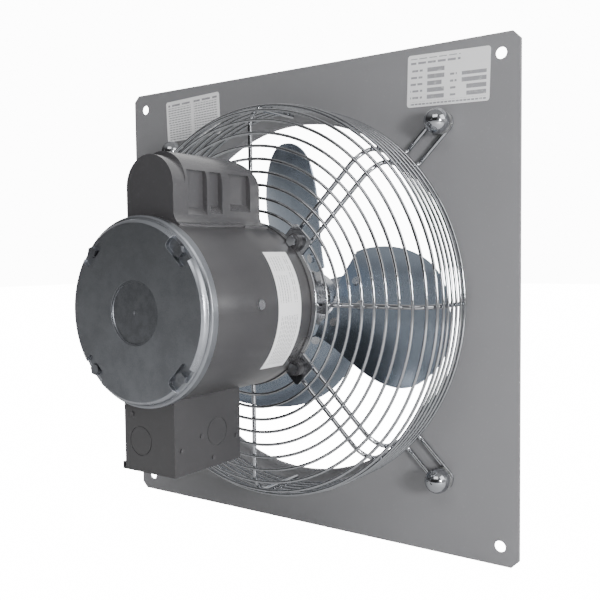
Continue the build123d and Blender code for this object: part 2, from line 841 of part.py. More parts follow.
def build_core_and_winding():
    stator_inner = rotor_radius + air_gap
    slot_start = stator_inner + 2.6
    with BuildPart() as stator:
        with BuildSketch(room(core_front)):
            Circle(spigot_radius)
            Circle(stator_inner, mode=Mode.SUBTRACT)
            with PolarLocations(slot_start + slot_depth / 2, slot_count, 7.5):
                Rectangle(slot_depth, slot_width, mode=Mode.SUBTRACT)
            with PolarLocations(through_bolt_circle + 2.0, 4, 45):
                Rectangle(11.0, 6.4, mode=Mode.SUBTRACT)
        extrude(amount=core_length)
    keep("stator_core", stator)

    bar_depth = slot_depth - 0.6
    coil_inner = slot_start + 0.3
    coil_outer = coil_inner + bar_depth + 3.0
    coil = coil_outer - coil_inner
    with BuildPart() as winding:
        with BuildSketch(room(core_front - 2.0)):
            with PolarLocations(coil_inner + bar_depth / 2, slot_count, 7.5):
                Rectangle(bar_depth, slot_width - 0.4)
        extrude(amount=core_length + 4.0)
        for low in (core_front - winding_overhang, core_rear + 1.0):
            with BuildSketch(section):
                with Locations(((coil_inner + coil_outer) / 2, low + (winding_overhang - 1.0) / 2)):
                    RectangleRounded(coil, winding_overhang - 1.0, 5.0)
            revolve(axis=Axis.Y)
    keep("stator_winding", winding)

    seat = shaft_rotor / 2 + seat_gap
    with BuildPart() as core:
        turn(ring(seat, rotor_radius, core_front, core_rear))
    keep("rotor_core", core)
    with BuildPart() as end_rings:
        turn(
            ring(22.0, rotor_radius - 0.8, core_front - 8.0, core_front - seat_gap),
            ring(22.0, rotor_radius - 0.8, core_rear + seat_gap, core_rear + 8.0),
        )
    keep("rotor_end_rings", end_rings)

    start = core_rear + 10.0
    with BuildPart() as actuator:
        turn(
            (
                (seat, start),
                (20.0, start),
                (20.0, start + 2.0),
                (12.0, start + 3.0),
                (12.0, start + 6.0),
                (17.0, start + 7.0),
                (17.0, start + 8.5),
                (seat, start + 8.5),
            )
        )
    keep("centrifugal_actuator", actuator)
    board = rear_bearing + 3.0
    with BuildPart() as plate:
        turn(ring(boss_radius + seat_gap, 52.0, board, board + 1.6))
    keep("start_switch_plate", plate)


def build_bearings():
    inner_rim = bearing_pitch - bearing_ball / 2 + 0.9
    outer_rim = bearing_pitch + bearing_ball / 2 - 0.9
    groove = bearing_ball / 2 + running_clearance
    middles = (drive_bearing + bearing_width / 2, rear_bearing + bearing_width / 2)
    for name, low, high in (
        ("bearing_inner_races", bearing_bore / 2, inner_rim),
        ("bearing_outer_races", outer_rim, bearing_outer / 2),
    ):
        with BuildPart() as races:
            with BuildSketch(section):
                for middle in middles:
                    with Locations(((low + high) / 2, middle)):
                        Rectangle(high - low, bearing_width)
                    with Locations((bearing_pitch, middle)):
                        Circle(groove, mode=Mode.SUBTRACT)
            revolve(axis=Axis.Y)
        keep(name, races)
    with BuildPart() as balls:
        for middle in middles:
            with Locations(room(middle)):
                with PolarLocations(bearing_pitch, ball_count):
                    Sphere(bearing_ball / 2)
    keep("bearing_balls", balls)
    rear = rear_bearing + bearing_width
    with BuildPart() as washer:
        turn(ring(16.6, bearing_seat - 0.4, rear + seat_gap, rear + 2.2 - seat_gap))
    keep("bearing_wave_washer", washer)


def build_shaft():
    seat = bearing_bore / 2 - seat_gap
    output = shaft_output / 2
    front_end = hub_depth - hub_length / 2 - 3.0
    step = motor_face - 4.0
    with BuildPart() as shaft:
        turn(
            (
                (0, front_end),
                (output - 0.8, front_end),
                (output, front_end + 0.8),
                (output, step),
                (seat, step),
                (seat, drive_bearing + bearing_width),
                (shaft_rotor / 2, drive_bearing + bearing_width),
                (shaft_rotor / 2, rear_bearing),
                (seat, rear_bearing),
                (seat, rear_bearing + bearing_width),
                (0, rear_bearing + bearing_width),
            )
        )
        block(
            (-shaft_output, front_end - 1, output - 1.0),
            (shaft_output, hub_depth + hub_length / 2 + 4, output + 5),
            Mode.SUBTRACT,
        )
    keep("motor_shaft", shaft)


# ---- propeller ----------------------------------------------------------

rivet_places = ((34.5, -19.0), (37.3, 27.0), (53.0, 4.0))
arm_sheet = 2.4
blade_outline = (
    (20.0, -36.0),
    (60.0, -48.5),
    (100.0, -60.0),
    (128.0, -57.0),
    (150.5, -22.0),
    (137.0, 24.0),
    (110.0, 58.0),
    (64.0, 74.5),
    (20.0, 60.0),
)
arm_outline = (
    (8.0, -22.0),
    (26.0, -28.0),
    (38.0, -28.0),
    (46.0, -20.0),
    (58.0, -5.0),
    (61.5, 4.0),
    (58.0, 14.0),
    (48.0, 32.0),
    (39.0, 37.0),
    (26.0, 34.0),
    (8.0, 24.0),
)


def blade_plane(angle):
    """Local x runs out along the blade, y across it and z to its room side."""
    c, s = cos(radians(angle)), sin(radians(angle))
    pitch = radians(blade_pitch)
    outwards = Vector(c, 0, s)
    across = Vector(-s * cos(pitch), sin(pitch), c * cos(pitch))
    return Plane(Vector(0, -hub_depth, 0), x_dir=outwards, z_dir=outwards.cross(across))


def camber_sheet(plane, low, high):
    """Cuts what is being built to a cambered sheet between two offsets."""
    centre = plane.from_local_coords(Vector(0, 0, -blade_camber))
    with BuildSketch(Plane(centre, x_dir=plane.y_dir, z_dir=plane.x_dir)) as rim:
        Circle(blade_camber + high)
        Circle(blade_camber + low, mode=Mode.SUBTRACT)
    extrude(rim.sketch, amount=propeller_radius + 20, mode=Mode.INTERSECT)


def rivet_plane(plane, place):
    """The plane on the cambered mean surface at one rivet."""
    u, v = place
    rise = sqrt(blade_camber**2 - v**2)
    origin = plane.from_local_coords(Vector(u, v, rise - blade_camber))
    normal = origin - plane.from_local_coords(Vector(u, 0, -blade_camber))
    return Plane(origin, z_dir=normal)


def rivet_rod(plane, place, radius, low, high, mode=Mode.ADD):
    """A rod through the blade at one rivet, between two offsets."""
    at = rivet_plane(plane, place)
    rod(radius, at.origin + at.z_dir * low, at.z_dir, high - low, mode)


def build_hub():
    half = hub_length / 2
    screw_depth = hub_depth + half - 5.0
    flat = shaft_output / 2 - 1.0
    with BuildPart() as hub:
        turn(ring(shaft_output / 2 + seat_gap, hub_radius, hub_depth - half, hub_depth + half))
        radial_rod(2.5, 90, screw_depth, 3, 40, Mode.SUBTRACT)
    keep("propeller_hub", hub)
    with BuildPart() as screw:
        radial_rod(2.5 - seat_gap, 90, screw_depth, flat + seat_gap, hub_radius - 0.6)
        radial_rod(1.2, 90, screw_depth, hub_radius - 3.0, hub_radius + 2, Mode.SUBTRACT)
    keep("hub_set_screw", screw)


def build_spider():
    face = blade_sheet / 2 + seat_gap
    half = spider_thickness / 2
    arms = []
    for angle in blade_angles:
        plane = blade_plane(angle)
        with BuildPart() as arm:
            with BuildSketch(plane.offset(-60)):
                with BuildLine():
                    Polyline(*arm_outline, close=True)
                make_face()
            extrude(amount=120)
            camber_sheet(plane, -face - arm_sheet, -face)
            for place in rivet_places:
                rivet_rod(plane, place, rivet_radius, -20, 20, Mode.SUBTRACT)
        arms.append(arm.part)
    with BuildPart() as spider:
        turn(ring(0, spider_radius, hub_depth - half, hub_depth + half))
        for arm in arms:
            add(arm)
        turn(ring(0, hub_radius + seat_gap, hub_depth - 60, hub_depth + 60), mode=Mode.SUBTRACT)
    keep("propeller_spider", spider)


def build_blades():
    half = blade_sheet / 2
    for number, angle in enumerate(blade_angles, 1):
        plane = blade_plane(angle)
        with BuildPart() as blade:
            with BuildSketch(plane.offset(-90)):
                with BuildLine():
                    Spline(*blade_outline)
                    Line(blade_outline[-1], blade_outline[0])
                make_face()
            extrude(amount=180)
            camber_sheet(plane, -half, half)
            tip = ring(spider_radius + 3, propeller_radius, hub_depth - 120, hub_depth + 120)
            turn(tip, mode=Mode.INTERSECT)
            for place in rivet_places:
                rivet_rod(plane, place, rivet_radius, -20, 20, Mode.SUBTRACT)
        keep(f"propeller_blade_{number}", blade)

    near = half + seat_gap
    far = half + arm_sheet + 3 * seat_gap
    with BuildPart() as rivets:
        for angle in blade_angles:
            plane = blade_plane(angle)
            for place in rivet_places:
                rivet_rod(plane, place, rivet_radius - seat_gap, -far - 0.5, near + 0.5)
                rivet_rod(plane, place, 4.4, near, near + 1.5)
                rivet_rod(plane, place, 4.0, -far - 1.2, -far)
    keep("blade_rivets", rivets)


for build in (
    build_panel,
    build_labels,
    build_guard_rings,
    build_guard_ribs,
    build_guard_struts,
    build_guard_feet,
    build_motor_tabs,
    build_drive_bell,
    build_rear_bell,
    build_motor_mounting,
    build_shell,
    build_cover,
    build_box,
    build_core_and_winding,
    build_bearings,
    build_shaft,
    build_hub,
    build_spider,
    build_blades,
):
    build()

os.makedirs("parts", exist_ok=True)
for part in finished:
    export_step(part, f"parts/{part.label}.step")
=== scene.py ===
"""Looks for a panel-mounted exhaust hood fan, laid out as an add-on with one operator for each group of pieces."""

import math

import bmesh
import bpy
from mathutils import Matrix, Vector


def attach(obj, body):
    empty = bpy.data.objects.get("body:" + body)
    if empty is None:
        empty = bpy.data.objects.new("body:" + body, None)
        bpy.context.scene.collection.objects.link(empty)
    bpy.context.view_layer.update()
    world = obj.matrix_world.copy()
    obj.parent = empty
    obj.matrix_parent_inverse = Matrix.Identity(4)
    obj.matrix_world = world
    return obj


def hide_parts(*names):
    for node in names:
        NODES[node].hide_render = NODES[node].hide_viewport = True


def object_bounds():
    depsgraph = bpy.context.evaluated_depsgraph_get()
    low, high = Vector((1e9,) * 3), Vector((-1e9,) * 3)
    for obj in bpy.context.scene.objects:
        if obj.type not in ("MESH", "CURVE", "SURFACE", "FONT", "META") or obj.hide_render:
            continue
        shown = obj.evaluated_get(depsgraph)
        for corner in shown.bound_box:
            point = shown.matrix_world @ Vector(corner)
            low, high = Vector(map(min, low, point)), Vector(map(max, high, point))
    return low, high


bl_info = {
    "name": "Exhaust Hood Fan",
    "version": (1, 0, 0),
    "blender": (4, 5, 0),
    "location": "3D View > Sidebar > Hood Fan",
    "description": "Finishes and small parts of a panel-mounted exhaust hood fan",
    "category": "Object",
}

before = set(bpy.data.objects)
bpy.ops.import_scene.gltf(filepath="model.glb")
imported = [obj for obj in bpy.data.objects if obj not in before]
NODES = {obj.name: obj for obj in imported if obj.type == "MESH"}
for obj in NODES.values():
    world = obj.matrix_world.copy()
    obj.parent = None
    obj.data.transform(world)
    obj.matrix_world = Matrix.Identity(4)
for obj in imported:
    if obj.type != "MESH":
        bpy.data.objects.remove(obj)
CAD_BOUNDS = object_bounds()
MM = 0.001
STILL = "frame"

# The sheet's front face stands this far into the room from the origin.
SHEET = 1.6

# Sizes of the guard, in millimetres, which the CAD nodes share.
RING_WIRE = 2.6
RING_DEPTH = SHEET + 73.5
FRONT_RINGS = [147.2 - 11.1 * i for i in range(9)]
SHOULDER_BEND = 22.0
SHOULDER_CENTRE = (151.7, RING_DEPTH - SHOULDER_BEND)
SHOULDER_ANGLES = (17.0, 45.0, 70.0)
SIDE_RADIUS = 173.7
SIDE_DEPTHS = [SHEET + 10.8 + 8.0 * i for i in range(6)]
RIB_ANGLES = (0, 90, 180, 270)
STRUT_ANGLES = (45, 135, 225, 315)
STRUT_SIDE = 8.0
STRUT_INNER_END = 62.0

# Bright bands on the rear end bell, as inner and outer radii, and how soft their edges are.
BELL_RIM = (66.8, 69.2)
BELL_EDGE = (70.8, 72.5)
BAND_SOFT = 0.6

# The nameplate's face: its radius about the fan axis and the depth of its middle.
NAMEPLATE_RADIUS = 70.6
NAMEPLATE_DEPTH = 112.6


def props():
    """The add-on's settings on the scene in use."""
    return bpy.context.scene.hood_fan


# ---- meshes ---------------------------------------------------------------


def new_object(name, mesh):
    """Links a mesh as an object at the origin."""
    obj = bpy.data.objects.new(name, mesh)
    bpy.context.scene.collection.objects.link(obj)
    return obj


def mesh_object(name, verts, faces):
    """Makes an object from points in metres and lists of corner numbers."""
    mesh = bpy.data.meshes.new(name)
    mesh.from_pydata([tuple(v) for v in verts], [], faces)
    mesh.validate()
    mesh.update()
    return new_object(name, mesh)


def room_point(radius, angle, depth):
    """A point at a radius, an angle in degrees and a depth into the room, all in millimetres."""
    a = math.radians(angle)
    return Vector((radius * math.cos(a), -depth, radius * math.sin(a))) * MM


def bake_modifiers(obj):
    """Puts the evaluated mesh in place of the object's own and clears its modifiers."""
    bpy.context.view_layer.update()
    graph = bpy.context.evaluated_depsgraph_get()
    mesh = bpy.data.meshes.new_from_object(obj.evaluated_get(graph), preserve_all_data_layers=True, depsgraph=graph)
    obj.modifiers.clear()
    obj.data = mesh
    return obj


def shade(obj, angle=35.0):
    """Smooth shading with edges sharper than an angle kept crisp."""
    mesh = obj.data
    bm = bmesh.new()
    bm.from_mesh(mesh)
    limit = math.radians(angle)
    for face in bm.faces:
        face.smooth = True
    for edge in bm.edges:
        edge.smooth = len(edge.link_faces) == 2 and edge.calc_face_angle(0.0) < limit
    bm.to_mesh(mesh)
    bm.free()


def softened(node, name, width, segments=3, angle=38.0):
    """A copy of a CAD node with its edges rounded, standing for the node."""
    flat_limit = math.radians(1.2)
    mesh = NODES[node].data.copy()
    mesh.materials.clear()
    mesh.transform(NODES[node].matrix_world)
    bm = bmesh.new()
    bm.from_mesh(mesh)
    bmesh.ops.remove_doubles(bm, verts=bm.verts, dist=2e-6)
    bmesh.ops.dissolve_limit(
        bm, angle_limit=flat_limit, verts=bm.verts, edges=bm.edges, use_dissolve_boundaries=False
    )
    bm.to_mesh(mesh)
    bm.free()
    if mesh.has_custom_normals:
        mesh.attributes.remove(mesh.attributes["custom_normal"])
    obj = new_object(name, mesh)
    bevel = obj.modifiers.new("edges", "BEVEL")
    bevel.width = width * MM
    bevel.segments = segments
    bevel.limit_method = "ANGLE"
    bevel.angle_limit = math.radians(angle)
    bevel.use_clamp_overlap = True
    bevel.harden_normals = False
    bake_modifiers(obj)
    shade(obj, 40.0)
    obj.modifiers.new("normals", "WEIGHTED_NORMAL").keep_sharp = True
    bake_modifiers(obj)
    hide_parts(node)
    return obj


def finish_piece(obj, material, body=STILL):
    """Gives a new piece its material and the body it rides on."""
    obj.data.materials.clear()
    obj.data.materials.append(material)
    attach(obj, body)
    return obj


def dress(names, material):
    """Puts a material on CAD nodes, which stay as they are."""
    for name in names:
        for slot in NODES[name].material_slots:
            slot.material = material


# ---- shader groups --------------------------------------------------------


def new_group(name, inputs, outputs):
    """An empty shader node group with named sockets."""
    tree = bpy.data.node_groups.new(name, "ShaderNodeTree")
    for label, kind, value in inputs:
        socket = tree.interface.new_socket(label, in_out="INPUT", socket_type=kind)
        if value is not None:
            socket.default_value = value
    for label, kind in outputs:
        tree.interface.new_socket(label, in_out="OUTPUT", socket_type=kind)
    return tree, tree.nodes.new("NodeGroupInput"), tree.nodes.new("NodeGroupOutput")


def maths(tree, operation, a, b=None, c=None, clamp=False):
    """A Math node with values or sockets on its inputs; gives its output."""
    node = tree.nodes.new("ShaderNodeMath")
    node.operation = operation
    node.use_clamp = clamp
    for socket, value in zip(node.inputs, (a, b, c)):
        if value is None:
            continue
        if hasattr(value, "links"):
            tree.links.new(value, socket)
        else:
            socket.default_value = value
    return node.outputs[0]


def blend(tree, factor, a, b, mode="MIX"):
    """A colour Mix node; gives its colour output."""
    node = tree.nodes.new("ShaderNodeMix")
    node.data_type = "RGBA"
    node.blend_type = mode
    for socket, value in ((node.inputs[0], factor), (node.inputs[6], a), (node.inputs[7], b)):
        if hasattr(value, "links"):
            tree.links.new(value, socket)
        else:
            socket.default_value = value
    return node.outputs[2]


def span(tree, value, low, high, to_low=0.0, to_high=1.0):
    """A smooth Map Range from low..high; gives its output."""
    node = tree.nodes.new("ShaderNodeMapRange")
    node.interpolation_type = "SMOOTHSTEP"
    for index, item in enumerate((value, low, high, to_low, to_high)):
        if hasattr(item, "links"):
            tree.links.new(item, node.inputs[index])
        else:
            node.inputs[index].default_value = item
    return node.outputs[0]


def noise(tree, vector, scale, detail=3.0, rough=0.55):
    """A Noise node; gives its value output."""
    node = tree.nodes.new("ShaderNodeTexNoise")
    tree.links.new(vector, node.inputs["Vector"])
    if hasattr(scale, "links"):
        tree.links.new(scale, node.inputs["Scale"])
    else:
        node.inputs["Scale"].default_value = scale
    node.inputs["Detail"].default_value = detail
    node.inputs["Roughness"].default_value = rough
    return node.outputs[0]


def build_paint_group():
    """Sprayed paint: slow tint changes, fine grain, faint specks of dust."""
    tree, source, target = new_group(
        "Sprayed Paint",
        [
            ("Vector", "NodeSocketVector", None),
            ("Color", "NodeSocketColor", (0.3, 0.3, 0.3, 1)),
            ("Dust", "NodeSocketColor", (0.5, 0.5, 0.5, 1)),
            ("Tint Spread", "NodeSocketFloat", 0.12),
            ("Dust Amount", "NodeSocketFloat", 0.1),
            ("Grain Scale", "NodeSocketFloat", 900.0),
            ("Roughness", "NodeSocketFloat", 0.45),
        ],
        [("Color", "NodeSocketColor"), ("Roughness", "NodeSocketFloat"), ("Height", "NodeSocketFloat")],
    )
    vector = source.outputs["Vector"]
    slow = noise(tree, vector, 14.0, 4.0)
    fine = noise(tree, vector, source.outputs["Grain Scale"], 2.0)
    specks = noise(tree, vector, 420.0, 1.0)
    shift = maths(tree, "MULTIPLY", maths(tree, "SUBTRACT", slow, 0.5), source.outputs["Tint Spread"])
    level = maths(tree, "ADD", shift, 1.0)
    combined = tree.nodes.new("ShaderNodeCombineColor")
    for socket in combined.inputs[:3]:
        tree.links.new(level, socket)
    tinted = blend(tree, 1.0, source.outputs["Color"], combined.outputs[0], "MULTIPLY")
    mask = maths(tree, "MULTIPLY", span(tree, specks, 0.66, 0.74), source.outputs["Dust Amount"])
    color = blend(tree, mask, tinted, source.outputs["Dust"])
    waver = maths(tree, "MULTIPLY", maths(tree, "SUBTRACT", slow, 0.5), 0.16)
    rough = maths(tree, "ADD", source.outputs["Roughness"], waver)
    rough = maths(tree, "ADD", rough, maths(tree, "MULTIPLY", mask, 0.3), clamp=True)
    tree.links.new(color, target.inputs["Color"])
    tree.links.new(rough, target.inputs["Roughness"])
    tree.links.new(fine, target.inputs["Height"])
    return tree


def build_metal_group():
    """Bare or plated metal: cloudy tone, drawn or cast grain, small marks."""
    tree, source, target = new_group(
        "Bare Metal",
        [
            ("Vector", "NodeSocketVector", None),
            ("Grain Vector", "NodeSocketVector", None),
            ("Color", "NodeSocketColor", (0.6, 0.6, 0.6, 1)),
            ("Dark", "NodeSocketColor", (0.3, 0.3, 0.3, 1)),
            ("Cloud Scale", "NodeSocketFloat", 40.0),
            ("Cloud Amount", "NodeSocketFloat", 0.4),
            ("Grain Scale", "NodeSocketFloat", 600.0),
            ("Roughness", "NodeSocketFloat", 0.3),
            ("Roughness Spread", "NodeSocketFloat", 0.15),
        ],
        [("Color", "NodeSocketColor"), ("Roughness", "NodeSocketFloat"), ("Height", "NodeSocketFloat")],
    )
    cloud = noise(tree, source.outputs["Vector"], source.outputs["Cloud Scale"], 5.0, 0.6)
    grain = noise(tree, source.outputs["Grain Vector"], source.outputs["Grain Scale"], 3.0)
    marks = maths(tree, "ADD", maths(tree, "MULTIPLY", cloud, 0.7), maths(tree, "MULTIPLY", grain, 0.3))
    mask = maths(tree, "MULTIPLY", span(tree, marks, 0.35, 0.65), source.outputs["Cloud Amount"])
    color = blend(tree, mask, source.outputs["Color"], source.outputs["Dark"])
    spread = maths(tree, "MULTIPLY", maths(tree, "SUBTRACT", marks, 0.5), source.outputs["Roughness Spread"])
    rough = maths(tree, "ADD", source.outputs["Roughness"], maths(tree, "MULTIPLY", spread, 2.0), clamp=True)
    tree.links.new(color, target.inputs["Color"])
    tree.links.new(rough, target.inputs["Roughness"])
    tree.links.new(grain, target.inputs["Height"])
    return tree


def build_band_group():
    """A mask that is 1 between two radii about the fan axis."""
    tree, source, target = new_group(
        "Turned Band",
        [
            ("Vector", "NodeSocketVector", None),
            ("Inner", "NodeSocketFloat", 0.05),
            ("Outer", "NodeSocketFloat", 0.06),
            ("Soft", "NodeSocketFloat", 0.0006),
        ],
        [("Mask", "NodeSocketFloat"), ("Radius", "NodeSocketFloat")],
    )
    split = tree.nodes.new("ShaderNodeSeparateXYZ")
    tree.links.new(source.outputs["Vector"], split.inputs[0])
    squares = [maths(tree, "MULTIPLY", split.outputs[i], split.outputs[i]) for i in (0, 2)]
    radius = maths(tree, "SQRT", maths(tree, "ADD", squares[0], squares[1]))
    soft = source.outputs["Soft"]
    inner, outer = source.outputs["Inner"], source.outputs["Outer"]
    rise = span(tree, radius, maths(tree, "SUBTRACT", inner, soft), inner)
    fall = span(tree, radius, outer, maths(tree, "ADD", outer, soft), 1.0, 0.0)
    tree.links.new(maths(tree, "MULTIPLY", rise, fall), target.inputs["Mask"])
    tree.links.new(radius, target.inputs["Radius"])
    return tree


def build_stripe_group():
    """Broken stripes like blank lines of print, on a flat pair of coordinates."""
    tree, source, target = new_group(
        "Blank Print",
        [
            ("Across", "NodeSocketFloat", 0.0),
            ("Up", "NodeSocketFloat", 0.0),
            ("Line Pitch", "NodeSocketFloat", 0.003),
            ("Word Pitch", "NodeSocketFloat", 0.006),
            ("Fill", "NodeSocketFloat", 0.45),
        ],
        [("Mask", "NodeSocketFloat")],
    )
    rows = maths(tree, "DIVIDE", source.outputs["Up"], source.outputs["Line Pitch"])
    row = maths(tree, "FLOOR", rows)
    in_row = maths(tree, "FRACT", rows)
    off_centre = maths(tree, "ABSOLUTE", maths(tree, "SUBTRACT", in_row, 0.5))
    line = maths(tree, "LESS_THAN", off_centre, maths(tree, "MULTIPLY", source.outputs["Fill"], 0.5))
    wave = maths(tree, "SINE", maths(tree, "MULTIPLY", row, 12.9898))
    shift = maths(tree, "FRACT", maths(tree, "MULTIPLY", wave, 43.7))
    words = maths(tree, "DIVIDE", source.outputs["Across"], source.outputs["Word Pitch"])
    words = maths(tree, "ADD", words, maths(tree, "MULTIPLY", shift, 3.0))
    in_word = maths(tree, "FRACT", words)
    gap = maths(tree, "GREATER_THAN", in_word, 0.2)
    tree.links.new(maths(tree, "MULTIPLY", line, gap), target.inputs["Mask"])
    return tree


GROUPS = {}


def group(name):
    """The shared node group of that name, built when it is first wanted."""
    makers = {
        "paint": build_paint_group,
        "metal": build_metal_group,
        "band": build_band_group,
        "print": build_stripe_group,
    }
    if name not in GROUPS:
        GROUPS[name] = makers[name]()
    return GROUPS[name]


# ---- materials ------------------------------------------------------------


def new_material(name, roughness, metallic, **sockets):
    """A material with a Principled BSDF; gives it, its tree, the shader and Object coordinates."""
    material = bpy.data.materials.new(name)
    material.use_nodes = True
    tree = material.node_tree
    shader = tree.nodes["Principled BSDF"]
    shader.inputs["Roughness"].default_value = roughness
    shader.inputs["Metallic"].default_value = metallic
    for label, value in sockets.items():
        shader.inputs[label.replace("_", " ")].default_value = value
    place = tree.nodes.new("ShaderNodeTexCoord").outputs["Object"]
    return material, tree, shader, place


def use_group(tree, name, **values):
    """A group node with its inputs set from values or sockets."""
    node = tree.nodes.new("ShaderNodeGroup")
    node.node_tree = group(name)
    for label, value in values.items():
        socket = node.inputs[label.replace("_", " ")]
        if hasattr(value, "links"):
            tree.links.new(value, socket)
        else:
            socket.default_value = value
    return node


def bump(tree, shader, height, strength, distance):
    """Feeds a height through a Bump node to the shader's normal."""
    node = tree.nodes.new("ShaderNodeBump")
    node.inputs["Strength"].default_value = strength
    node.inputs["Distance"].default_value = distance
    tree.links.new(height, node.inputs["Height"])
    tree.links.new(node.outputs[0], shader.inputs["Normal"])


def stretched(tree, place, scale):
    """Object coordinates scaled by axis, for grain that runs one way."""
    node = tree.nodes.new("ShaderNodeMapping")
    node.inputs["Scale"].default_value = scale
    tree.links.new(place, node.inputs["Vector"])
    return node.outputs[0]


def rgba(color):
    """A colour with full alpha."""
    return (color[0], color[1], color[2], 1.0)


def paint_material(name, color, roughness=0.45, spread=0.12, dust=0.1, grain=900.0, bump_mm=0.03, coat=0.0):
    """Sprayed paint over metal."""
    material, tree, shader, place = new_material(name, roughness, 0.0, Coat_Weight=coat, Coat_Roughness=0.25)
    dust_color = rgba([min(1.0, c * 1.6 + 0.03) for c in color[:3]])
    node = use_group(
        tree, "paint", Vector=place, Color=rgba(color), Dust=dust_color, Tint_Spread=spread,
        Dust_Amount=dust, Grain_Scale=grain, Roughness=roughness,
    )
    tree.links.new(node.outputs["Color"], shader.inputs["Base Color"])
    tree.links.new(node.outputs["Roughness"], shader.inputs["Roughness"])
    bump(tree, shader, node.outputs["Height"], 0.35, bump_mm * MM)
    return material


def metal_material(
    name, color, dark, roughness=0.3, spread=0.15, cloud=40.0, amount=0.4, grain=600.0,
    stretch=(1, 1, 1), bump_mm=0.02,
):
    """Bare or plated metal."""
    material, tree, shader, place = new_material(name, roughness, 1.0)
    node = use_group(
        tree, "metal", Vector=place, Grain_Vector=stretched(tree, place, stretch), Color=rgba(color),
        Dark=rgba(dark), Cloud_Scale=cloud, Cloud_Amount=amount, Grain_Scale=grain,
        Roughness=roughness, Roughness_Spread=spread,
    )
    tree.links.new(node.outputs["Color"], shader.inputs["Base Color"])
    tree.links.new(node.outputs["Roughness"], shader.inputs["Roughness"])
    if bump_mm > 0:
        bump(tree, shader, node.outputs["Height"], 0.3, bump_mm * MM)
    return material


def bell_material(name):
    """Die cast end bell: dull mottled face, bright turned rim."""
    setting = props()
    material, tree, shader, place = new_material(name, 0.4, 1.0)
    face = use_group(
        tree, "metal", Vector=place, Grain_Vector=place, Color=rgba(setting.bell_color),
        Dark=rgba([c * 0.62 for c in setting.bell_color]), Cloud_Scale=55.0, Cloud_Amount=0.5,
        Grain_Scale=900.0, Roughness=0.42, Roughness_Spread=0.14,
    )
    rim, edge = (
        use_group(tree, "band", Vector=place, Inner=inner * MM, Outer=outer * MM, Soft=BAND_SOFT * MM)
        for inner, outer in (BELL_RIM, BELL_EDGE)
    )
    mask = maths(tree, "MAXIMUM", rim.outputs["Mask"], maths(tree, "MULTIPLY", edge.outputs["Mask"], 0.7))
    mask = maths(tree, "MULTIPLY", mask, 0.6)
    bright = rgba([min(1.0, c * 1.9) for c in setting.bell_color])
    tree.links.new(blend(tree, mask, face.outputs["Color"], bright), shader.inputs["Base Color"])
    rough = maths(tree, "SUBTRACT", face.outputs["Roughness"], maths(tree, "MULTIPLY", mask, 0.2), clamp=True)
    tree.links.new(rough, shader.inputs["Roughness"])
    bump(tree, shader, face.outputs["Height"], 0.35, 0.05 * MM)
    return material


def print_mask(tree, across, up, blocks):
    """A mask of blank lines in several blocks.

    Each block has its left, right, low and high edges in metres, the pitches of its lines and words in
    millimetres, and the part of a line's pitch that is printed.
    """
    mask = None
    for left, right, low, high, pitch, word, fill in blocks:
        node = use_group(tree, "print", Across=across, Up=up, Line_Pitch=pitch * MM, Word_Pitch=word * MM, Fill=fill)
        inside = node.outputs["Mask"]
        for value, edge, test in (
            (across, left, "GREATER_THAN"),
            (across, right, "LESS_THAN"),
            (up, low, "GREATER_THAN"),
            (up, high, "LESS_THAN"),
        ):
            inside = maths(tree, "MULTIPLY", inside, maths(tree, test, value, edge))
        mask = inside if mask is None else maths(tree, "MAXIMUM", mask, inside)
    return mask


def label_material(name, centre, size, tilt, columns, paper, ink):
    """A sticker with blank lines in place of its wording; a column's edges are shares of half the sticker."""
    material, tree, shader, place = new_material(name, 0.5, 0.0, Coat_Weight=0.25, Coat_Roughness=0.3)
    move = tree.nodes.new("ShaderNodeMapping")
    move.vector_type = "TEXTURE"
    move.inputs["Location"].default_value = (centre[0] * MM, 0.0, centre[1] * MM)
    move.inputs["Rotation"].default_value = (0.0, math.radians(-tilt), 0.0)
    tree.links.new(place, move.inputs["Vector"])
    split = tree.nodes.new("ShaderNodeSeparateXYZ")
    tree.links.new(move.outputs[0], split.inputs[0])
    across, up = split.outputs[0], split.outputs[2]
    half_w, half_h = size[0] / 2 * MM, size[1] / 2 * MM
    mask = print_mask(tree, across, up, [
        (left * half_w, right * half_w, low * half_h, high * half_h, *rest)
        for left, right, low, high, *rest in columns
    ])
    worn = maths(tree, "MULTIPLY", mask, span(tree, noise(tree, place, 300.0), 0.2, 0.5, 0.5, 0.85))
    stain = noise(tree, place, 45.0)
    base = blend(tree, maths(tree, "MULTIPLY", stain, 0.25), rgba(paper), rgba([c * 0.75 for c in paper]))
    tree.links.new(blend(tree, worn, base, rgba(ink)), shader.inputs["Base Color"])
    return material


# ---- guard ----------------------------------------------------------------


def weld_spots():
    """Where rings and wires meet, with the direction from the ring to the wire."""
    rings = [((r, RING_DEPTH), (0.0, -1.0)) for r in FRONT_RINGS]
    for angle in SHOULDER_ANGLES:
        a = math.radians(angle)
        at = (SHOULDER_CENTRE[0] + SHOULDER_BEND * math.sin(a), SHOULDER_CENTRE[1] + SHOULDER_BEND * math.cos(a))
        rings.append((at, (-math.sin(a), -math.cos(a))))
    rings += [((SIDE_RADIUS, d), (-1.0, 0.0)) for d in SIDE_DEPTHS]
    wires = [(angle, 0.0) for angle in RIB_ANGLES]
    wires += [(angle, side) for angle in STRUT_ANGLES for side in (-STRUT_SIDE, STRUT_SIDE)]
    reach = RING_WIRE / 2
    spots = []
    for (radius, depth), (out, along) in rings:
        for angle, side in wires:
            if side and radius < STRUT_INNER_END:
                continue
            turn = angle + math.degrees(math.asin(side / radius))
            spots.append(room_point(radius + out * reach, turn, depth + along * reach))
    return spots


